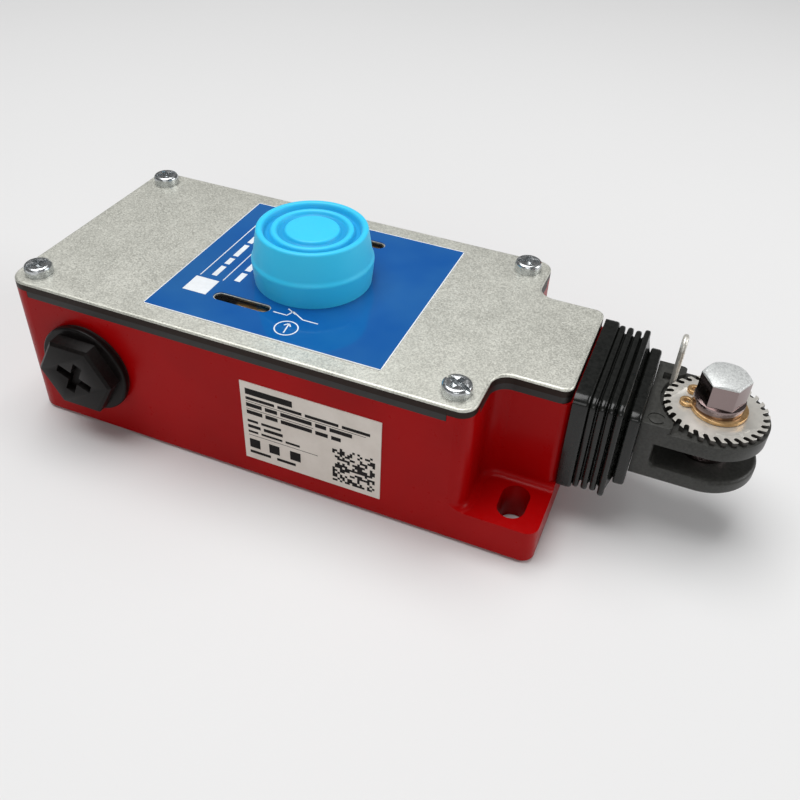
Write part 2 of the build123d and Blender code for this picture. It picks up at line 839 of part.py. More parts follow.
def circlip():
    """Retaining ring, thickest away from its mouth, with a holed lug on each end."""
    ring = Pos(circlip_shift, 0) * Circle(circlip_r)
    lugs = [Rot(0, 0, s * lug_angle) * Pos(-circlip_r - lug_reach, 0) for s in (-1, 1)]
    for lug in lugs:
        ring += lug * Circle(lug_r)
    ring -= Rectangle(2 * circlip_r + 2 * lug_r, circlip_mouth, align=(Align.MAX, Align.CENTER))
    ring -= Circle(groove_r)
    for lug in lugs:
        ring -= lug * Circle(lug_hole_r)
    ring = Pos(spindle_x, 0) * Rot(0, 0, circlip_turn) * ring
    part("circlip", slab(ring, circlip_low, circlip_low + circlip_thick))


def lower_ring():
    ring = Pos(spindle_x, 0) * (Circle(journal_r + lower_ring_rim) - Circle(journal_r - groove_depth))
    ring -= Pos(spindle_x, 0) * Rectangle(2 * journal_r, lower_ring_mouth, align=(Align.MAX, Align.CENTER))
    part("lower_ring", slab(ring, lower_ring_low, lower_ring_top))


def wire_pawl():
    y1 = wire_y + wire_span
    middle = wire_y + wire_span / 2
    top = wire_top - wire_span / 2
    leg = rod(wire_x, wire_y, ear_top + wire_lift, top, wire_r)
    pivot = rod(wire_x, y1, ear_top - pivot_depth + pivot_end_gap, top, wire_r)
    bow = revolve(Pos(wire_x, y1, top) * Circle(wire_r), Axis((wire_x, middle, top), (1, 0, 0)), 180)
    part("wire_pawl", leg + pivot + bow)


def frame_screw_places():
    along, across = frame_screw_in
    return [(x, s * (frame_half - across)) for x in (frame_x0 + along, frame_x1 - along) for s in (-1, 1)]


def mechanism_frame():
    body = box(frame_x0, frame_x1, -frame_half, frame_half, floor, plate_top)
    body += box(post_x - post_thick / 2, post_x + post_thick / 2, -post_half, post_half, plate_top,
                pull_height + post_rise)
    body -= rod_x(post_x - post_thick, post_x + post_thick, 0, pull_height, shaft_r + run_clear)
    for s in (-1, 1):
        y0 = min(s * cheek_y, s * (cheek_y + cheek_thick))
        body += box(lever_pin_x - cheek_half, lever_pin_x + cheek_half, y0, y0 + cheek_thick, plate_top,
                    pin_z + cheek_rise)
    body -= rod_y(-half, half, lever_pin_x, pin_z, lever_pin_r)
    for x, y in frame_screw_places():
        body -= rod(x, y, floor - past, plate_top + past, frame_screw_r)
    part("mechanism_frame", body)


def frame_screws():
    tip = floor - frame_screw_depth + frame_screw_gap
    group = [slotted_screw(x, y, tip, plate_top, frame_screw_r, frame_screw_head, small_slot)
             for x, y in frame_screw_places()]
    part("frame_screws", Compound(children=group))


def ramp_z(x):
    """Height of the carriage's ramp above the contact plungers."""
    return plunger_top + ramp_gap + ramp_ratio * (x - button_x)


def carriage():
    ramp_start = button_x - pull_travel - ramp_lead
    ramp_end = button_x + ramp_tail
    step = ramp_z(ramp_start) + carriage_step[1]
    points = [(carriage_x0, step), (ramp_start - carriage_step[0], step), (ramp_start, ramp_z(ramp_start)),
              (ramp_end, ramp_z(ramp_end)), (carriage_x1, ramp_z(ramp_end)), (carriage_x1, carriage_top),
              (carriage_x0, carriage_top)]
    face = make_face(Plane.XZ * Polyline(points, close=True))
    body = extrude(face, carriage_half, both=True)
    body -= rod_x(carriage_x0 - past, carriage_x1 + past, 0, pull_height, shaft_r)
    slot = nose_x - pull_travel
    body -= box(slot - nose_slot, slot + nose_slot, -carriage_half - past, carriage_half + past,
                carriage_top - nose_slot, carriage_top + past)
    part("cam_carriage", body)


def shaft_rings():
    group = []
    for x in ring_places:
        ring = rod_x(x, x + ring_thick, 0, pull_height, shaft_r + ring_rim)
        ring -= rod_x(x - past, x + ring_thick + past, 0, pull_height, ring_groove_r)
        ring -= box(x - past, x + ring_thick + past, -ring_mouth, ring_mouth,
                    pull_height - 2 * shaft_r, pull_height)
        group.append(ring)
    part("shaft_rings", Compound(children=group))


def spring_collar():
    x = carriage_x1 + ring_thick
    body = rod_x(x, x + collar_thick, 0, pull_height, collar_r)
    body -= rod_x(x - past, x + collar_thick + past, 0, pull_height, shaft_r)
    part("spring_collar", body)


def main_spring():
    x = carriage_x1 + ring_thick + collar_thick
    length = x_right - neck_wall - bush_flange - x
    coil = spring(x, 0, pull_height, length, main_spring_turns, shaft_r + main_spring_gap,
                  main_spring_wire, "X")
    part("main_spring", coil)


def indicator():
    """Flags seen through the windows, on arms that pass round the sides of the carriage."""
    arm_z = pull_height + arm_rise
    flag_top = flag_low + flag_thick
    group = []
    for x, y in window_places:
        s = 1 if y > 0 else -1
        side = s * arm_reach
        flag = box(min(x - flag_back, arm_x0), max(x + window_length / 2, arm_x1), y - flag_half, y + flag_half,
                   flag_low, flag_top)
        flag += box(arm_x0, arm_x1, min(y, side), max(y, side), flag_low, flag_top)
        leg = sorted((side, side - s * flag_thick))
        flag += box(arm_x0, arm_x1, *leg, arm_z, flag_top)
        arm = sorted((s * carriage_half, side))
        flag += box(arm_x0, arm_x1, *arm, arm_z, arm_z + flag_thick)
        group.append(flag)
    part("indicator_flags", Compound(children=group))


def strip_places():
    places = []
    for s in (-1, 1):
        places.append((contact_x0, button_x - strip_gap, s * plunger_y))
        places.append((button_x + strip_gap, contact_x1, s * plunger_y))
    return places


def terminal_x(x0, x1):
    return x0 + terminal_in if x0 < button_x - strip_gap else x1 - terminal_in


def contact_block():
    base = box(contact_x0, contact_x1, -contact_half, contact_half, plate_top, strip_top)
    lid = box(button_x - contact_lid_half, button_x + contact_lid_half, -contact_half, contact_half,
              strip_top, contact_top)
    hole = plunger_w + 2 * run_clear
    a, b = chamber_half
    for s in (-1, 1):
        y = s * plunger_y
        base -= box(button_x - a, button_x + a, y - b, y + b, plate_top + contact_floor, strip_top + past)
        lid -= box(button_x - a, button_x + a, y - b, y + b, strip_top - past, contact_top - contact_roof)
        lid -= Pos(button_x, y, contact_top) * Box(hole, hole, 4 * contact_roof)
    for x0, x1, y in strip_places():
        base -= box(x0, x1, y - strip_half, y + strip_half, strip_low, strip_top)
        base -= rod(terminal_x(x0, x1), y, plate_top + terminal_hole, strip_top, frame_screw_r)
    part("contact_base", base)
    part("contact_lid", lid)


def terminals():
    strips = []
    screws = []
    tip = plate_top + terminal_hole + terminal_end_gap
    for x0, x1, y in strip_places():
        x = terminal_x(x0, x1)
        strip = box(x0, x1, y - strip_half, y + strip_half, strip_low, strip_top)
        strip -= rod(x, y, strip_low - past, strip_top + past, frame_screw_r)
        strips.append(strip)
        screws.append(slotted_screw(x, y, tip, strip_top, frame_screw_r, terminal_head, small_slot))
    part("terminal_strips", Compound(children=strips))
    part("terminal_screws", Compound(children=screws))


def contact_plungers():
    posts = []
    bridges = []
    coils = []
    low = strip_low - plunger_foot
    bar_low = strip_low - bridge_drop
    seat = plate_top + contact_floor
    w = plunger_w / 2
    for s in (-1, 1):
        y = s * plunger_y
        post = box(button_x - w, button_x + w, y - w, y + w, low, plunger_top)
        post = fillet(post.edges().filter_by(Axis.Y).group_by(Axis.Z)[-1], plunger_round)
        bar = box(button_x - bridge_half[0], button_x + bridge_half[0], y - bridge_half[1], y + bridge_half[1],
                  bar_low, bar_low + bridge_thick)
        posts.append(post - bar)
        bridges.append(bar)
        coils.append(spring(button_x, y, seat, low - seat, contact_spring_turns, contact_spring_r,
                            contact_spring_wire))
    part("contact_plungers", Compound(children=posts))
    part("contact_bridges", Compound(children=bridges))
    part("contact_springs", Compound(children=coils))


def latch_lever():
    tip = nose_x + nose_tip
    body = box(button_x - lever_end, tip, -lever_half, lever_half, lever_bottom, lever_top)
    body += box(nose_x - nose_root, tip, -nose_half, nose_half, lever_bottom, lever_top)
    body += rod_y(-nose_half, nose_half, lever_pin_x, pin_z, hub_r)
    for s in (-1, 1):
        nose = sorted((s * nose_inner, s * nose_half))
        body += box(nose_x - nose_tip, tip, *nose, carriage_top + nose_gap, lever_bottom)
    body -= rod_y(-nose_half - past, nose_half + past, lever_pin_x, pin_z, lever_pin_r + run_clear)
    part("latch_lever", body)


def latch_pin():
    reach = cheek_y + cheek_thick
    rim, thick = pin_head
    body = rod_y(-reach - thick, reach, lever_pin_x, pin_z, lever_pin_r)
    body += rod_y(reach, reach + thick, lever_pin_x, pin_z, lever_pin_r + rim)
    part("latch_pin", body)


def latch_springs():
    group = [spring(lever_pin_x, y, pin_z, latch_spring_length, latch_spring_turns, latch_spring_r,
                    latch_spring_wire, "Y") for y in latch_spring_y]
    part("latch_springs", Compound(children=group))


def earth_terminal():
    x, y = earth_place
    a, b = earth_clamp_half
    seat = earth_top + earth_clamp_thick
    clamp = box(x - a, x + a, y - b, y + b, earth_top, seat)
    clamp -= rod(x, y, earth_top - past, seat + past, screw_r)
    part("earth_clamp", clamp)
    tip = earth_top - earth_hole + screw_end_gap
    part("earth_screw", slotted_screw(x, y, tip, seat, screw_r, earth_head, earth_slot))


housing()
cover()
gasket()
cover_screws()
label()
window_lenses()
side_label()
plug()
plug_seal()
reset_boot()
reset_sleeve()
sleeve_nut()
reset_plunger()
reset_clip()
reset_spring()
bellows()
front_bush()
pull_shaft()
clevis()
cross_pin()
spindle()
ratchet_wheel()
circlip()
lower_ring()
wire_pawl()
mechanism_frame()
frame_screws()
carriage()
shaft_rings()
spring_collar()
main_spring()
indicator()
contact_block()
terminals()
contact_plungers()
latch_lever()
latch_pin()
latch_springs()
earth_terminal()
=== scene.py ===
import json
import math
import random
import bpy
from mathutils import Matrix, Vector


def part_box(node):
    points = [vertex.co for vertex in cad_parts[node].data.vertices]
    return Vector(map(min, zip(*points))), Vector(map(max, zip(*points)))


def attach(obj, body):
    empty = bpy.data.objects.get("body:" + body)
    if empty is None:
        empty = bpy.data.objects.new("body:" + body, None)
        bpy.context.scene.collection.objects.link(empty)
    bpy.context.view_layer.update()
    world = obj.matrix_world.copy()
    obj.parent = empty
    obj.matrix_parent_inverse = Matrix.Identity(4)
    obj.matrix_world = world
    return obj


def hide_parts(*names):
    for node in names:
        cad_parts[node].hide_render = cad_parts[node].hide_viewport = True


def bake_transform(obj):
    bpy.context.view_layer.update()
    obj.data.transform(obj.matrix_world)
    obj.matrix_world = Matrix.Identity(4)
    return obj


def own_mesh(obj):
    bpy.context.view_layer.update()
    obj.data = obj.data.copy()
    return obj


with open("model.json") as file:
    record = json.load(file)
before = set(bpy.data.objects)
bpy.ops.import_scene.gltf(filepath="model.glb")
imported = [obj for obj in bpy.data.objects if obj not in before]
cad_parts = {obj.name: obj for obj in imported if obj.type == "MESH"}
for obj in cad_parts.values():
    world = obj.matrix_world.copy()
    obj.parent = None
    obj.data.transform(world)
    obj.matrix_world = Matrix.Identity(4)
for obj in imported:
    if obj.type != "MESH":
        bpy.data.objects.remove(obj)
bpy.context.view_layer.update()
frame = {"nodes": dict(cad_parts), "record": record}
nodes = frame["nodes"]
mm = 0.001
copyMerge = 0.002  # millimetres between vertices that count as one
loftMerge = 0.001
print("frame loaded:", len(nodes), "nodes")


def boxMm(node):
    low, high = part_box(node)
    return [v / mm for v in low], [v / mm for v in high]


# places read from the frame, in millimetres
labelLow, labelHigh = boxMm("cover_label")
sideLow, sideHigh = boxMm("side_label")
bootLow, bootHigh = boxMm("reset_boot")
bellowsLow, bellowsHigh = boxMm("bellows")
coverTop = boxMm("cover")[1][2]
spindleTop = boxMm("tension_spindle")[1][2]
wheelTop = boxMm("ratchet_wheel")[1][2]
bootX = (bootLow[0] + bootHigh[0]) / 2
bellowsZ = (bellowsLow[2] + bellowsHigh[2]) / 2


def deselectAll():
    if bpy.context.object and bpy.context.object.mode != "OBJECT":
        bpy.ops.object.mode_set(mode="OBJECT")
    bpy.ops.object.select_all(action="DESELECT")


def pickOnly(piece):
    deselectAll()
    piece.select_set(True)
    bpy.context.view_layer.objects.active = piece


def applyAll(piece):
    pickOnly(piece)
    bpy.ops.object.transform_apply(location=True, rotation=True, scale=True)


def editAll(piece):
    pickOnly(piece)
    bpy.ops.object.mode_set(mode="EDIT")
    bpy.ops.mesh.select_all(action="SELECT")


def shaded(piece, angle=40):
    pickOnly(piece)
    bpy.ops.object.shade_smooth_by_angle(angle=math.radians(angle))


# the finish is the slot's own unless another one is named
def dressed(piece, slot, finish=None, replaced=()):
    piece.data.materials.clear()
    piece.data.materials.append(finishes[finish or slot])
    if replaced:
        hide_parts(*replaced)


def riding(piece, body, slot, finish=None, replaced=()):
    dressed(piece, slot, finish, replaced)
    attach(piece, body)


# the node's mesh with its loose triangles merged
def nodeCopy(node, name):
    piece = bpy.data.objects.new(name, nodes[node].data.copy())
    bpy.context.scene.collection.objects.link(piece)
    editAll(piece)
    bpy.ops.mesh.remove_doubles(threshold=copyMerge * mm)
    bpy.ops.object.mode_set(mode="OBJECT")
    return piece


def bevelled(piece, width, segments, sharp=35, flat=0.6):
    editAll(piece)
    bpy.ops.mesh.dissolve_limited(angle_limit=math.radians(flat))
    bpy.ops.object.mode_set(mode="OBJECT")
    bevel = piece.modifiers.new("edges", "BEVEL")
    bevel.width = width
    bevel.segments = segments
    bevel.limit_method = "ANGLE"
    bevel.angle_limit = math.radians(sharp)
    bevel.use_clamp_overlap = True
    bevel.harden_normals = False
    pickOnly(piece)
    bpy.ops.object.modifier_apply(modifier="edges")
    shaded(piece, sharp)
    return piece


# rounds each corner of an open outline of pairs, by less where the radius does not fit
def softCorners(points, radius, steps):
    share = 0.45  # of a side that one corner may take
    result = [points[0]]
    for before, here, after in zip(points, points[1:], points[2:]):
        here = Vector(here)
        back, forth = Vector(before) - here, Vector(after) - here
        reach = min(radius, back.length * share, forth.length * share)
        start, end = here + back.normalized() * reach, here + forth.normalized() * reach
        for k in range(steps + 1):
            t = k / steps
            result.append(tuple(start.lerp(here, t).lerp(here.lerp(end, t), t)))
    result.append(points[-1])
    return result


# pulls the seed's outline, half sizes 1 mm, through a closed profile of (place, half width, half height)
def lofted(name, seed, profile, centre, along):
    seed.name = name
    centre = Vector(centre) * mm
    place, wide, high = 0.0, 1.0, 1.0
    editAll(seed)
    for index, (nextPlace, nextWide, nextHigh) in enumerate(profile):
        if index:
            bpy.ops.mesh.extrude_region_move()
        shift = Vector((0, 0, 0))
        shift[along] = (nextPlace - place) * mm
        bpy.ops.transform.translate(value=shift)
        across = [nextWide / wide, nextHigh / high]
        scale = [1, 1, 1]
        for axis in range(3):
            if axis != along:
                scale[axis] = across.pop(0)
        middle = centre.copy()
        middle[along] = nextPlace * mm
        bpy.ops.transform.resize(value=scale, center_override=middle)
        place, wide, high = nextPlace, nextWide, nextHigh
    bpy.ops.mesh.select_all(action="SELECT")
    bpy.ops.mesh.remove_doubles(threshold=loftMerge * mm)
    bpy.ops.mesh.normals_make_consistent(inside=False)
    bpy.ops.object.mode_set(mode="OBJECT")
    shaded(seed)
    return seed


def ringSeed(centre, vertices=96):
    deselectAll()
    bpy.ops.mesh.primitive_circle_add(vertices=vertices, radius=mm, fill_type="NOTHING",
                                      location=[c * mm for c in centre])
    piece = bpy.context.object
    applyAll(piece)
    return piece


# outline of a square with rounded corners in the Y-Z plane
def roundedSeed(centre, corner, segments=8):
    deselectAll()
    bpy.ops.mesh.primitive_plane_add(size=2 * mm, location=[c * mm for c in centre], rotation=(0, math.pi / 2, 0))
    piece = bpy.context.object
    applyAll(piece)
    editAll(piece)
    bpy.ops.mesh.bevel(offset=corner * mm, segments=segments, affect="VERTICES")
    bpy.ops.mesh.select_all(action="SELECT")
    bpy.ops.mesh.delete(type="ONLY_FACE")
    bpy.ops.object.mode_set(mode="OBJECT")
    return piece


def joined(name, pieces):
    deselectAll()
    for piece in pieces:
        piece.select_set(True)
    bpy.context.view_layer.objects.active = pieces[0]
    bpy.ops.object.join()
    pieces[0].name = name
    return pieces[0]


def flatBar(start, end, width):  # flat on z = 0
    run = Vector(end) - Vector(start)
    middle = (Vector(start) + Vector(end)) / 2 * mm
    deselectAll()
    bpy.ops.mesh.primitive_plane_add(size=1, location=(middle.x, middle.y, 0))
    piece = bpy.context.object
    piece.scale = (run.length * mm, width * mm, 1)
    piece.rotation_euler = (0, 0, math.atan2(run.y, run.x))
    applyAll(piece)
    return piece


def thickened(piece, thick):
    editAll(piece)
    bpy.ops.mesh.extrude_region_move(TRANSFORM_OT_translate={"value": (0, 0, thick * mm)})
    bpy.ops.mesh.select_all(action="SELECT")
    bpy.ops.mesh.normals_make_consistent(inside=False)
    bpy.ops.object.mode_set(mode="OBJECT")
    return piece


def newMaterial(name):
    material = bpy.data.materials.new(name)
    material.use_nodes = True
    tree = material.node_tree
    shader = tree.nodes["Principled BSDF"]
    coord = tree.nodes.new("ShaderNodeTexCoord")
    return material, tree, shader, coord.outputs["Object"]


def stretched(tree, source, scale):
    mapping = tree.nodes.new("ShaderNodeMapping")
    mapping.inputs["Scale"].default_value = scale
    tree.links.new(source, mapping.inputs["Vector"])
    return mapping.outputs["Vector"]


def noise(tree, source, scale, detail=2.0, rough=0.5):
    node = tree.nodes.new("ShaderNodeTexNoise")
    node.inputs["Scale"].default_value = scale
    node.inputs["Detail"].default_value = detail
    node.inputs["Roughness"].default_value = rough
    tree.links.new(source, node.inputs["Vector"])
    return node.outputs["Fac"]


# a colour or a single grey as the four numbers that a socket takes
def rgba(colour):
    return (*colour, 1) if hasattr(colour, "__len__") else (colour, colour, colour, 1)


def ramp(tree, source, stops):
    node = tree.nodes.new("ShaderNodeValToRGB")
    while len(node.color_ramp.elements) < len(stops):
        node.color_ramp.elements.new(0.5)
    for element, (place, colour) in zip(node.color_ramp.elements, stops):
        element.position = place
        element.color = rgba(colour)
    tree.links.new(source, node.inputs["Fac"])
    return node.outputs["Color"]


def mathNode(tree, operation, first, second=None):
    node = tree.nodes.new("ShaderNodeMath")
    node.operation = operation
    for socket, value in zip(node.inputs, (first, second)):
        if isinstance(value, (int, float)):
            socket.default_value = value
        elif value is not None:
            tree.links.new(value, socket)
    return node.outputs["Value"]


# first colour where the mask is 0, second where it is 1
def mixed(tree, mask, first, second):
    node = tree.nodes.new("ShaderNodeMix")
    node.data_type = "RGBA"
    tree.links.new(mask, node.inputs["Factor"])
    for socket, value in ((node.inputs["A"], first), (node.inputs["B"], second)):
        if hasattr(value, "is_output"):
            tree.links.new(value, socket)
        else:
            socket.default_value = rgba(value)
    return node.outputs["Result"]


def splitXyz(tree, source):
    split = tree.nodes.new("ShaderNodeSeparateXYZ")
    tree.links.new(source, split.inputs["Vector"])
    return split.outputs


def bump(tree, shader, height, strength, distance):
    node = tree.nodes.new("ShaderNodeBump")
    node.inputs["Strength"].default_value = strength
    node.inputs["Distance"].default_value = distance
    tree.links.new(height, node.inputs["Height"])
    tree.links.new(node.outputs["Normal"], shader.inputs["Normal"])


socketNames = {"metallic": "Metallic", "rough": "Roughness", "colour": "Base Color", "coat": "Coat Weight",
               "coatRough": "Coat Roughness", "specular": "Specular IOR Level", "subsurface": "Subsurface Weight",
               "subsurfaceScale": "Subsurface Scale", "ior": "IOR", "sheen": "Sheen Weight",
               "sheenRough": "Sheen Roughness", "transmission": "Transmission Weight",
               "alpha": "Alpha"}


def setShader(shader, **values):
    for key, value in values.items():
        shader.inputs[socketNames[key]].default_value = (*value, 1) if hasattr(value, "__len__") else value


# colour, roughness and relief all come from one grain
def grained(name, dark, light, grainScale, roughLow, roughHigh, bumpStrength, bumpDepth, **shaderValues):
    material, tree, shader, place = newMaterial(name)
    grain = noise(tree, place, grainScale, 4.0, 0.6)
    tree.links.new(ramp(tree, grain, [(0.35, dark), (0.65, light)]), shader.inputs["Base Color"])
    tree.links.new(ramp(tree, grain, [(0.3, roughLow), (0.7, roughHigh)]), shader.inputs["Roughness"])
    bump(tree, shader, grain, bumpStrength, bumpDepth)
    setShader(shader, **shaderValues)
    return material


redEnamelLook = {"dark": (0.30, 0.0003, 0.0008), "light": (0.36, 0.0005, 0.0012), "broadScale": 45,
                 "peelScale": 700, "peelDepth": 0.00003, "peelStrength": 0.3, "rough": (0.27, 0.38)}


def redEnamel():
    look = redEnamelLook
    material, tree, shader, place = newMaterial("redEnamel")
    broad = noise(tree, place, look["broadScale"], 2.0)
    peel = noise(tree, place, look["peelScale"], 3.0, 0.55)
    tree.links.new(ramp(tree, broad, [(0.3, look["dark"]), (0.7, look["light"])]), shader.inputs["Base Color"])
    tree.links.new(ramp(tree, peel, [(0.3, look["rough"][0]), (0.7, look["rough"][1])]), shader.inputs["Roughness"])
    bump(tree, shader, peel, look["peelStrength"], look["peelDepth"])
    setShader(shader, coat=0.03, coatRough=0.12, specular=0.09)
    return material


# edge is a painted shade colour, dark brown, for the plate's side edge
plateLook = {"dark": (0.46, 0.46, 0.41), "light": (0.74, 0.74, 0.67), "grainScale": 2300, "cloudScale": 110,
             "scratchScale": 300, "grainShare": 0.8, "rough": (0.38, 0.58), "metallic": 0.7,
             "edge": (0.020, 0.012, 0.009), "shadedEdgeFrom": 0.62}


# tumbled metal, with painted shade on the side edge below the rounded rim
def tumbledPlate():
    look = plateLook
    material, tree, shader, place = newMaterial("tumbledPlate")
    share = look["grainShare"]
    grain = noise(tree, place, look["grainScale"], 5.0, 0.7)
    cloud = noise(tree, place, look["cloudScale"], 3.0, 0.6)
    scratch = noise(tree, stretched(tree, place, (1, 14, 1)), look["scratchScale"], 3.0, 0.7)
    mostly = mathNode(tree, "MULTIPLY", grain, share)
    blend = mathNode(tree, "ADD", mostly, mathNode(tree, "MULTIPLY", cloud, 1 - share))
    relief = mathNode(tree, "ADD", mostly, mathNode(tree, "MULTIPLY", scratch, 1 - share))
    face = ramp(tree, blend, [(0.38, look["dark"]), (0.60, look["light"])])
    # painted shade: below this level the side edge takes the dark edge colour
    below = (coverTop - look["shadedEdgeFrom"]) * mm
    edge = mathNode(tree, "LESS_THAN", splitXyz(tree, place)["Z"], below)
    tree.links.new(mixed(tree, edge, face, look["edge"]), shader.inputs["Base Color"])
    tree.links.new(ramp(tree, grain, [(0.3, look["rough"][0]), (0.7, look["rough"][1])]), shader.inputs["Roughness"])
    bump(tree, shader, relief, 0.4, 0.00005)
    setShader(shader, metallic=look["metallic"])
    return material


labelLook = {"dark": (0.001, 0.085, 0.33), "light": (0.012, 0.115, 0.35), "border": (0.85, 0.87, 0.88),
             "borderWide": 0.26, "rough": (0.05, 0.10)}


def printedLabel():
    look = labelLook
    material, tree, shader, place = newMaterial("printedLabel")
    parts = splitXyz(tree, place)
    edge = None
    for axis in (0, 1):
        centre = (labelLow[axis] + labelHigh[axis]) / 2 * mm
        reach = ((labelHigh[axis] - labelLow[axis]) / 2 - look["borderWide"]) * mm
        away = mathNode(tree, "ABSOLUTE", mathNode(tree, "SUBTRACT", parts[axis], centre))
        over = mathNode(tree, "GREATER_THAN", away, reach)
        edge = over if edge is None else mathNode(tree, "MAXIMUM", edge, over)
    tint = ramp(tree, noise(tree, place, 60, 2.0), [(0.3, look["dark"]), (0.7, look["light"])])
    tree.links.new(mixed(tree, edge, tint, look["border"]), shader.inputs["Base Color"])
    film = noise(tree, place, 900, 2.0)
    tree.links.new(ramp(tree, film, [(0.3, look["rough"][0]), (0.7, look["rough"][1])]), shader.inputs["Roughness"])
    bump(tree, shader, noise(tree, place, 140, 2.0), 0.08, 0.00004)
    setShader(shader, coat=0.1, coatRough=0.04, specular=0.5)
    return material


def clearLens():
    material, tree, shader, place = newMaterial("clearLens")
    grain = noise(tree, place, 500, 2.0)
    tree.links.new(ramp(tree, grain, [(0.3, 0.02), (0.7, 0.05)]), shader.inputs["Roughness"])
    setShader(shader, colour=(0.93, 0.95, 0.96), transmission=1.0, ior=1.49, alpha=0.55)
    return material


# side is painted shade with a red-brown tint, top is a painted lit colour for the same plating
spindleLook = {"side": (0.27, 0.21, 0.205), "top": (0.74, 0.76, 0.75), "topPits": 0.55, "crown": 0.75,
               "sideRough": (0.09, 0.17), "topRough": 0.42, "topDull": 0.7, "blastScale": 2600}


# bright plating, with the hexagon's top painted lighter and duller as lit from above, with a pitted grain, and its
# sides painted shade in dark red-brown
def platedSpindle():
    look = spindleLook
    material, tree, shader, place = newMaterial("platedSpindle")
    # painted light: the top above the crown is lighter and less metallic, the sides below it painted shade
    top = mathNode(tree, "GREATER_THAN", splitXyz(tree, place)["Z"], (spindleTop - look["crown"]) * mm)
    grain = noise(tree, place, look["blastScale"], 4.0, 0.8)
    paintedLitTop = ramp(tree, grain, [(0.35, tuple(c * look["topPits"] for c in look["top"])), (0.6, look["top"])])
    tree.links.new(mixed(tree, top, look["side"], paintedLitTop), shader.inputs["Base Color"])
    sheen = ramp(tree, noise(tree, place, 700, 2.0), [(0.3, look["sideRough"][0]), (0.7, look["sideRough"][1])])
    tree.links.new(mixed(tree, top, sheen, look["topRough"]), shader.inputs["Roughness"])
    bump(tree, shader, mathNode(tree, "MULTIPLY", grain, top), 0.5, 0.00008)
    tree.links.new(mathNode(tree, "SUBTRACT", 1.0, mathNode(tree, "MULTIPLY", top, look["topDull"])),
                   shader.inputs["Metallic"])
    return material


# the dark colour is painted shade for the slot walls and outer edge
wheelLook = {"face": (0.68, 0.66, 0.61), "cut": (0.055, 0.050, 0.045), "faceDeep": 0.22}


# the wheel's outer edge and the walls of its slots get painted shade, dark below the top face
def stampedWheel():
    look = wheelLook
    material, tree, shader, place = newMaterial("stampedWheel")
    # painted shade: everything below this level takes the dark colour
    level = (wheelTop - look["faceDeep"]) * mm
    upper = mathNode(tree, "GREATER_THAN", splitXyz(tree, place)["Z"], level)
    tree.links.new(mixed(tree, upper, look["cut"], look["face"]), shader.inputs["Base Color"])
    grain = noise(tree, place, 900, 3.0)
    tree.links.new(ramp(tree, grain, [(0.3, 0.30), (0.7, 0.40)]), shader.inputs["Roughness"])
    bump(tree, shader, grain, 0.03, 0.00001)
    setShader(shader, metallic=0.55)
    return material


# the darker channel colour is painted shade for the two round channels
bootLook = {"face": (0.035, 0.58, 0.90), "channelShade": (0.008, 0.34, 0.66), "wide": 16.0,
            "channels": [(6.9, 0), (7.4, 1), (8.6, 1), (9.2, 0), (10.6, 0), (11.1, 1), (12.2, 1), (12.7, 0)]}


# the two round channels get painted shade, a deeper blue, at radii in millimetres
def bootRubber():
    look = bootLook
    material, tree, shader, place = newMaterial("blueRubber")
    parts = splitXyz(tree, place)
    across = mathNode(tree, "SUBTRACT", parts["X"], bootX * mm)
    squares = mathNode(tree, "ADD", mathNode(tree, "POWER", across, 2.0), mathNode(tree, "POWER", parts["Y"], 2.0))
    radius = mathNode(tree, "DIVIDE", mathNode(tree, "SQRT", squares), look["wide"] * mm)
    # painted shade: 1 inside the two channels, 0 on the raised ring and outside
    channelShade = ramp(tree, radius, [(r / look["wide"], float(deep)) for r, deep in look["channels"]])
    tree.links.new(mixed(tree, channelShade, look["face"], look["channelShade"]), shader.inputs["Base Color"])
    grain = noise(tree, place, 260, 3.0)
    tree.links.new(ramp(tree, grain, [(0.3, 0.40), (0.7, 0.50)]), shader.inputs["Roughness"])
    bump(tree, shader, grain, 0.12, 0.00003)
    setShader(shader, subsurface=0.04, subsurfaceScale=0.001, sheen=0.08, sheenRough=0.4, specular=0.35)
    return material


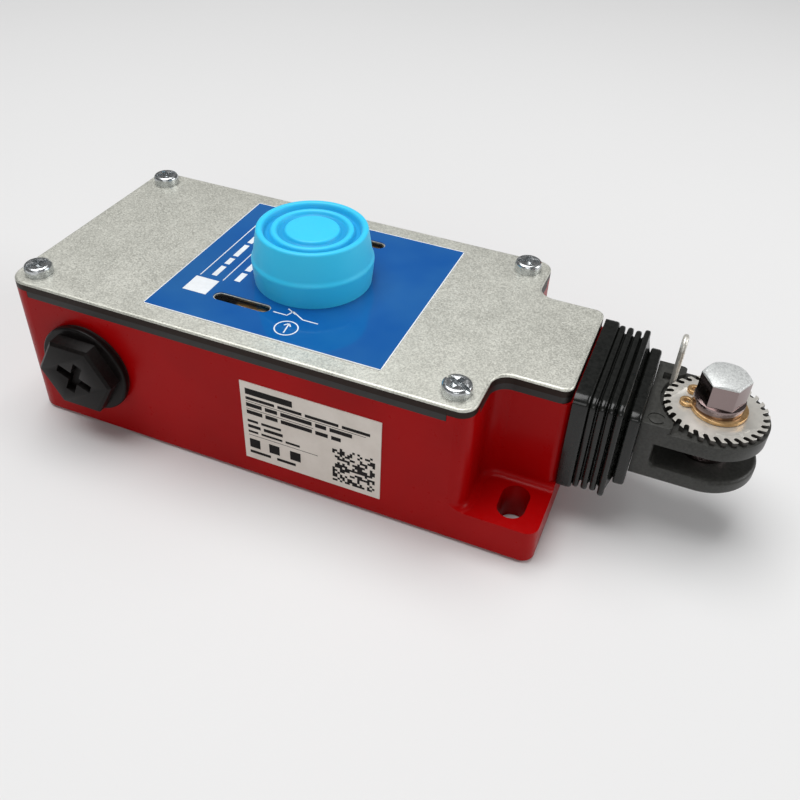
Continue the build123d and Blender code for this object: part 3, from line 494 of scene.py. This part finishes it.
finishes = {
    "red_enamel": redEnamel(),
    "bare_plate": tumbledPlate(),
    "blue_print": printedLabel(),
    "clear_lens": clearLens(),
    "plated": platedSpindle(),
    "stamped": stampedWheel(),
    "black_rubber": grained("blackRubber", (0.0025, 0.003, 0.0025), (0.007, 0.0075, 0.0065), 900, 0.24, 0.36, 0.3,
                            0.00004, specular=0.24, coat=0.35, coatRough=0.16),
    "seal_rubber": grained("sealRubber", (0.006, 0.005, 0.004), (0.012, 0.010, 0.009), 900, 0.45, 0.60, 0.2, 0.00003),
    "zinc_plate": grained("zincPlate", (0.46, 0.48, 0.49), (0.66, 0.68, 0.69), 1500, 0.18, 0.34, 0.15, 0.00002,
                          metallic=1.0),
    "pale_label": grained("paleLabel", (0.64, 0.58, 0.52), (0.72, 0.66, 0.60), 120, 0.32, 0.42, 0.1, 0.00002),
    "white_print": grained("whitePrint", (0.78, 0.80, 0.82), (0.86, 0.88, 0.90), 300, 0.25, 0.35, 0.1, 0.00001),
    "black_print": grained("blackPrint", (0.006, 0.005, 0.005), (0.012, 0.010, 0.010), 300, 0.35, 0.45, 0.1, 0.00001,
                           specular=0.1),
    "black_plastic": grained("blackPlastic", (0.0030, 0.0022, 0.0022), (0.007, 0.0055, 0.005), 1400, 0.30, 0.44, 0.25,
                             0.00002, specular=0.14),
    "blue_rubber": bootRubber(),
    "spring_steel": grained("springSteel", (0.35, 0.35, 0.36), (0.50, 0.50, 0.51), 800, 0.25, 0.38, 0.1, 0.00002,
                            metallic=1.0),
    "grey_cast": grained("greyCast", (0.032, 0.032, 0.029), (0.050, 0.050, 0.046), 1500, 0.34, 0.46, 0.35, 0.00003,
                         specular=0.3),
    "bright_steel": grained("brightSteel", (0.62, 0.60, 0.55), (0.72, 0.70, 0.65), 900, 0.34, 0.42, 0.03, 0.00001,
                            metallic=0.55),
    "yellow_zinc": grained("yellowZinc", (0.52, 0.30, 0.12), (0.66, 0.44, 0.22), 500, 0.26, 0.38, 0.1, 0.00002,
                           metallic=0.75),
    "brass": grained("brass", (0.70, 0.50, 0.20), (0.80, 0.60, 0.28), 700, 0.22, 0.36, 0.1, 0.00002, metallic=1.0),
    "amber_flag": grained("amberFlag", (0.85, 0.46, 0.12), (0.95, 0.60, 0.22), 300, 0.25, 0.4, 0.1, 0.00002),
    "grey_plastic": grained("greyPlastic", (0.10, 0.10, 0.10), (0.14, 0.14, 0.14), 900, 0.35, 0.5, 0.2, 0.00002),
}
slotOfNode = {s["node"]: s["material_slot"] for s in frame["record"]["subparts"]}
ownFinish = {"tension_spindle": "plated", "ratchet_wheel": "stamped", "cover_gasket": "seal_rubber",
             "plug_seal": "seal_rubber"}
for nodeName, nodeObject in nodes.items():
    nodeObject.data.materials.clear()
    nodeObject.data.materials.append(finishes[ownFinish.get(nodeName, slotOfNode[nodeName])])
print("finishes made:", len(finishes))


# lengths along X from the body end, drops inward from the widest loop
bellowsShape = {"corner": 0.16, "firstRing": 4.6, "ringPitch": 2.1, "ringHalf": 0.78, "ringDrops": [0.5, 0.5, 0.7, 0.2],
                "valley": 1.4, "wall": 1.5, "flange": 3.7, "endFlange": 2.8, "endStep": 1.2, "endHalf": (15.2, 11.3),
                "endWall": (2.0, 2.6), "opening": 8.4, "innerGap": 0.9, "innerFlat": 3.5, "soft": 0.8, "softSteps": 4}


def makeBellows():
    shape = bellowsShape
    x0, x1 = bellowsLow[0], bellowsHigh[0]
    wide, high = bellowsHigh[1], (bellowsHigh[2] - bellowsLow[2]) / 2
    endWide, endHigh = shape["endHalf"]
    flangeEnd, endStart, backEnd = x0 + shape["flange"], x1 - shape["endFlange"], x1 - shape["wall"]

    # a loop's height follows its width, and flattens towards the end flange
    def loop(x, w):
        t = (x - x0) / (x1 - x0)
        return x, w, w - (wide - high) * (1 - t) - (endWide - endHigh) * t

    outer = [(x0, wide), (flangeEnd, wide)]
    for k, across in enumerate(shape["ringDrops"]):
        x, top = x0 + shape["firstRing"] + k * shape["ringPitch"], wide - across
        start, end, foot = x - shape["ringHalf"], x + shape["ringHalf"], top - shape["valley"]
        outer += [(start, foot), (start, top), (end, top), (end, foot)]
    outer += [(endStart, endWide - shape["endStep"]), (endStart, endWide), (x1, endWide), (x1, shape["opening"])]
    profile = [loop(x, w) for x, w in softCorners(outer, shape["soft"], shape["softSteps"])]
    profile[-1] = (x1, shape["opening"], shape["opening"])
    inner = wide - shape["valley"] - shape["wall"] - shape["innerGap"]
    innerHigh = inner - shape["innerFlat"]
    thin, thick = shape["endWall"]
    profile += [(backEnd, shape["opening"], shape["opening"]), (backEnd, endWide - thin, endHigh - thin),
                (endStart, endWide - thick, endHigh - thick), (flangeEnd, inner, innerHigh), (x0, inner, innerHigh),
                loop(x0, wide)]
    centre = (0, 0, bellowsZ)
    piece = lofted("rubberBellows", roundedSeed(centre, shape["corner"]), profile, centre, 0)
    dressed(piece, "black_rubber", replaced=["bellows"])
    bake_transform(piece)


bootShape = {"skirtHigh": 6.4, "skirtFoot": 15.4, "skirtTop": 16.0, "shoulder": 15.5, "shoulderHigh": 0.9,
             "topRadius": 14.3, "wall": 1.5, "footWall": 1.0, "roof": 2.6, "middleDeep": 0.6, "middleRadius": 0.01,
             "soft": 0.7, "softSteps": 5, "travel": 2.5,
             "crown": [(12.8, 0), (12.3, 1.9), (11.0, 1.9), (10.5, 0.5), (9.3, 0.5), (8.8, 1.6), (7.3, 1.6),
                       (6.9, 0.6)]}


def makeBoot():
    shape = bootShape
    z0, z1 = bootLow[2], bootHigh[2]
    skirtZ, roofZ = z0 + shape["skirtHigh"], z1 - shape["roof"]
    outline = [(z0, shape["skirtFoot"]), (skirtZ, shape["skirtTop"]),
               (skirtZ + shape["shoulderHigh"], shape["shoulder"]), (z1, shape["topRadius"])]
    outline += [(z1 - depth, radius) for radius, depth in shape["crown"]]
    outline += [(z1 - shape["middleDeep"], shape["middleRadius"])]
    outline = softCorners(outline, shape["soft"], shape["softSteps"])
    outline += [(roofZ, shape["middleRadius"]), (roofZ, shape["topRadius"] - shape["wall"]),
                (skirtZ, shape["skirtTop"] - shape["wall"]), (z0, shape["skirtFoot"] - shape["footWall"]),
                (z0, shape["skirtFoot"])]
    centre = (bootX, 0, 0)
    piece = lofted("resetBoot", ringSeed(centre), [(z, r, r) for z, r in outline], centre, 2)
    riding(piece, "base", "blue_rubber", replaced=["reset_boot"])
    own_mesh(piece)


# joint, axis, travel in millimetres, and whether the high end stands still
springs = {"main_spring": ("head_slide", (1, 0, 0), 15.0, 1), "reset_spring": ("reset_press", (0, 0, 1), 2.5, 0),
           "contact_springs": ("contact_press", (0, 0, 1), 2.5, 0)}


def makeSprings():
    for node, (joint, axis, travel, atHigh) in springs.items():
        low, high = boxMm(node)
        along = axis.index(1)
        piece = nodeCopy(node, node + "Coil")
        shaded(piece, 60)
        anchor = [(a + b) / 2 * mm for a, b in zip(low, high)]
        anchor[along] = (high if atHigh else low)[along] * mm
        riding(piece, "base", "spring_steel", replaced=[node])
        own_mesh(piece)


# width of the bevel in millimetres and its segments
softened = {"clevis": (0.28, 3), "blanking_plug": (0.25, 2), "cover_screws": (0.12, 2), "tension_spindle": (0.10, 2),
            "ratchet_wheel": (0.10, 1), "circlip": (0.12, 2)}
bodyOfNode = {node: body for body, listed in frame["record"]["behaviour"]["bodies"].items() for node in listed}


def makeSoftened():
    for node, (width, segments) in softened.items():
        piece = bevelled(nodeCopy(node, node + "Soft"), width * mm, segments)
        riding(piece, bodyOfNode[node], slotOfNode[node], ownFinish.get(node), [node])


coverPrint = {"thick": 0.03, "block": (-29.6, -19.8, -22.8, -13.0), "rule": 0.28,
              "rules": [(-29.0, -12.2, 27.0), (-22.2, -12.2, 27.0)],
              "words": [(-25.6, 1.5, [5.0, 3.2, 6.4, 4.0, 5.6]), (-18.8, 1.7, [4.2, 6.0, 3.0, 5.2])],
              "wordsFrom": -11.0, "wordGap": 1.3, "line": 0.32,
              "symbol": [(-3.6, -19.1), (0.2, -19.1), (0.9, -17.0), (4.6, -19.2), (8.8, -19.2)],
              "tick": [(-0.8, -16.4), (2.0, -17.9)], "arrow": [(2.9, -26.0), (2.4, -22.0)],
              "arrowHead": (0.9, 1.1), "ring": (2.6, -24.0, 2.9), "ringSides": 32}


def makeCoverPrint():
    look = coverPrint
    x0, y0, x1, y1 = look["block"]
    pieces = [flatBar((x0, (y0 + y1) / 2), (x1, (y0 + y1) / 2), y1 - y0)]
    for x, start, end in look["rules"]:
        pieces.append(flatBar((x, start), (x, end), look["rule"]))
    for x, tall, lengths in look["words"]:
        y = look["wordsFrom"]
        for length in lengths:
            pieces.append(flatBar((x, y), (x, y + length), tall))
            y += length + look["wordGap"]
    for line in (look["symbol"], look["tick"], look["arrow"]):
        for start, end in zip(line, line[1:]):
            pieces.append(flatBar(start, end, look["line"]))
    tip, (across, back) = look["arrow"][-1], look["arrowHead"]
    for side in (-across, across):
        pieces.append(flatBar(tip, (tip[0] + side, tip[1] - back), look["line"]))
    x, y, radius = look["ring"]
    angles = [2 * math.pi * k / look["ringSides"] for k in range(look["ringSides"] + 1)]
    corners = [(x + radius * math.cos(a), y + radius * math.sin(a)) for a in angles]
    for start, end in zip(corners, corners[1:]):
        pieces.append(flatBar(start, end, look["line"]))
    piece = thickened(joined("coverPrint", pieces), look["thick"])
    piece.location = (0, 0, labelHigh[2] * mm)
    applyAll(piece)
    riding(piece, "base", "pale_label", "white_print")


# heights above the label's lower edge and lengths along it
sidePrint = {"thick": 0.02, "margin": 1.4, "wordGap": 0.9, "rule": 0.14, "badge": 3.0,
             "cells": 17, "cell": 0.68, "cellsLow": 1.6, "share": 0.48, "seed": 7,
             "rows": [(22.6, 1.9, [13.0]), (20.4, 0.9, [8.0, 6.6, 9.0, 7.4]), (18.3, 1.2, [4.4, 3.4, 8.6, 3.0, 6.0]),
                      (15.9, 1.2, [4.4, 3.4, 8.6, 3.4, 2.6]), (13.0, 0.8, [3.0, 5.6]), (11.2, 1.0, [3.6, 5.4]),
                      (9.4, 0.7, [2.8, 6.0, 4.0]), (2.4, 0.9, [6.0, 0.0, 5.4])],
             "rules": [(19.4, 34.0), (17.0, 20.0), (8.2, 21.0)], "badges": [(3.0, 5.4), (8.6, 5.4), (14.6, 5.4)]}


def sideCell(x, z, size):
    return flatBar((x - size / 2, z), (x + size / 2, z), size)


def makeSidePrint():
    look = sidePrint
    random.seed(look["seed"])
    pieces = []
    for z, high, lengths in look["rows"]:
        x = look["margin"]
        for length in lengths:
            if length:
                pieces.append(flatBar((x, z), (x + length, z), high))
            x += length + look["wordGap"]
    for z, end in look["rules"]:
        pieces.append(flatBar((look["margin"], z), (end, z), look["rule"]))
    for x, z in look["badges"]:
        pieces.append(sideCell(x, z, look["badge"]))
    # a block of scattered cells with no code in it
    cell = look["cell"]
    left = sideHigh[0] - sideLow[0] - look["margin"] - look["cells"] * cell
    for row in range(look["cells"]):
        for column in range(look["cells"]):
            if random.random() < look["share"]:
                pieces.append(sideCell(left + (column + 0.5) * cell, look["cellsLow"] + (row + 0.5) * cell, cell))
    piece = thickened(joined("sidePrint", pieces), look["thick"])
    piece.rotation_euler = (math.pi / 2, 0, 0)
    piece.location = [v * mm for v in sideLow]
    applyAll(piece)
    riding(piece, "base", "black_plastic", "black_print")


makeBellows()
print("bellows made")
makeBoot()
print("reset boot made")
makeSprings()
print("springs made")
makeSoftened()
print("softened pieces made")
makeCoverPrint()
makeSidePrint()
print("label print made")


studio = {"floor": (0.74, 0.74, 0.74), "floorSize": 6, "floorDrop": 0.0002, "world": (1.0, 1.0, 1.0),
          "worldStrength": 0.16}
# place, target and size in metres, power in watts
lights = {"overheadLight": ((-0.15, 0.05, 0.95), (0.02, 0, 0.03), (0.9, 0.7), 9.5),
          "frontLight": ((0.25, -1.0, 0.50), (0, 0, 0.03), (0.7, 0.4), 2.0),
          "rightLight": ((0.75, 0.25, 0.35), (0.08, 0, 0.03), (0.5, 0.4), 2.5)}


def makeStudio():
    deselectAll()
    bpy.ops.mesh.primitive_plane_add(size=studio["floorSize"], location=(0, 0, -studio["floorDrop"]))
    floor = bpy.context.object
    floor.name = "studioFloor"
    material, tree, shader, place = newMaterial("paleFloor")
    shade = tuple(c * 0.98 for c in studio["floor"])
    tree.links.new(ramp(tree, noise(tree, place, 3, 2.0), [(0.3, shade), (0.7, studio["floor"])]),
                   shader.inputs["Base Color"])
    setShader(shader, rough=0.7, specular=0.2)
    floor.data.materials.append(material)
    world = bpy.data.worlds.new("studioWorld")
    world.use_nodes = True
    background = world.node_tree.nodes["Background"]
    background.inputs["Color"].default_value = rgba(studio["world"])
    background.inputs["Strength"].default_value = studio["worldStrength"]
    bpy.context.scene.world = world
    bpy.context.scene.view_settings.view_transform = "Standard"


def softLight(name, place, target, size, power):
    data = bpy.data.lights.new(name, "AREA")
    data.shape = "RECTANGLE"
    data.size, data.size_y = size
    data.energy = power
    lamp = bpy.data.objects.new(name, data)
    lamp.location = place
    lamp.rotation_euler = (Vector(target) - Vector(place)).to_track_quat("-Z", "Y").to_euler()
    bpy.context.scene.collection.objects.link(lamp)


cameraPlace = {"location": (0.09022, -0.17627, 0.16642), "turn": (50.028, -2.196, 22.415), "lens": 39.363,
               "sensor": 36, "clipStart": 0.01}


def makeCamera():
    data = bpy.data.cameras.new("viewCamera")
    data.lens = cameraPlace["lens"]
    data.sensor_width = cameraPlace["sensor"]
    data.clip_start = cameraPlace["clipStart"]
    camera = bpy.data.objects.new("viewCamera", data)
    camera.location = cameraPlace["location"]
    camera.rotation_euler = [math.radians(a) for a in cameraPlace["turn"]]
    bpy.context.scene.collection.objects.link(camera)
    bpy.context.scene.camera = camera


makeStudio()
for lightName, values in lights.items():
    softLight(lightName, *values)
makeCamera()
print("studio ready")
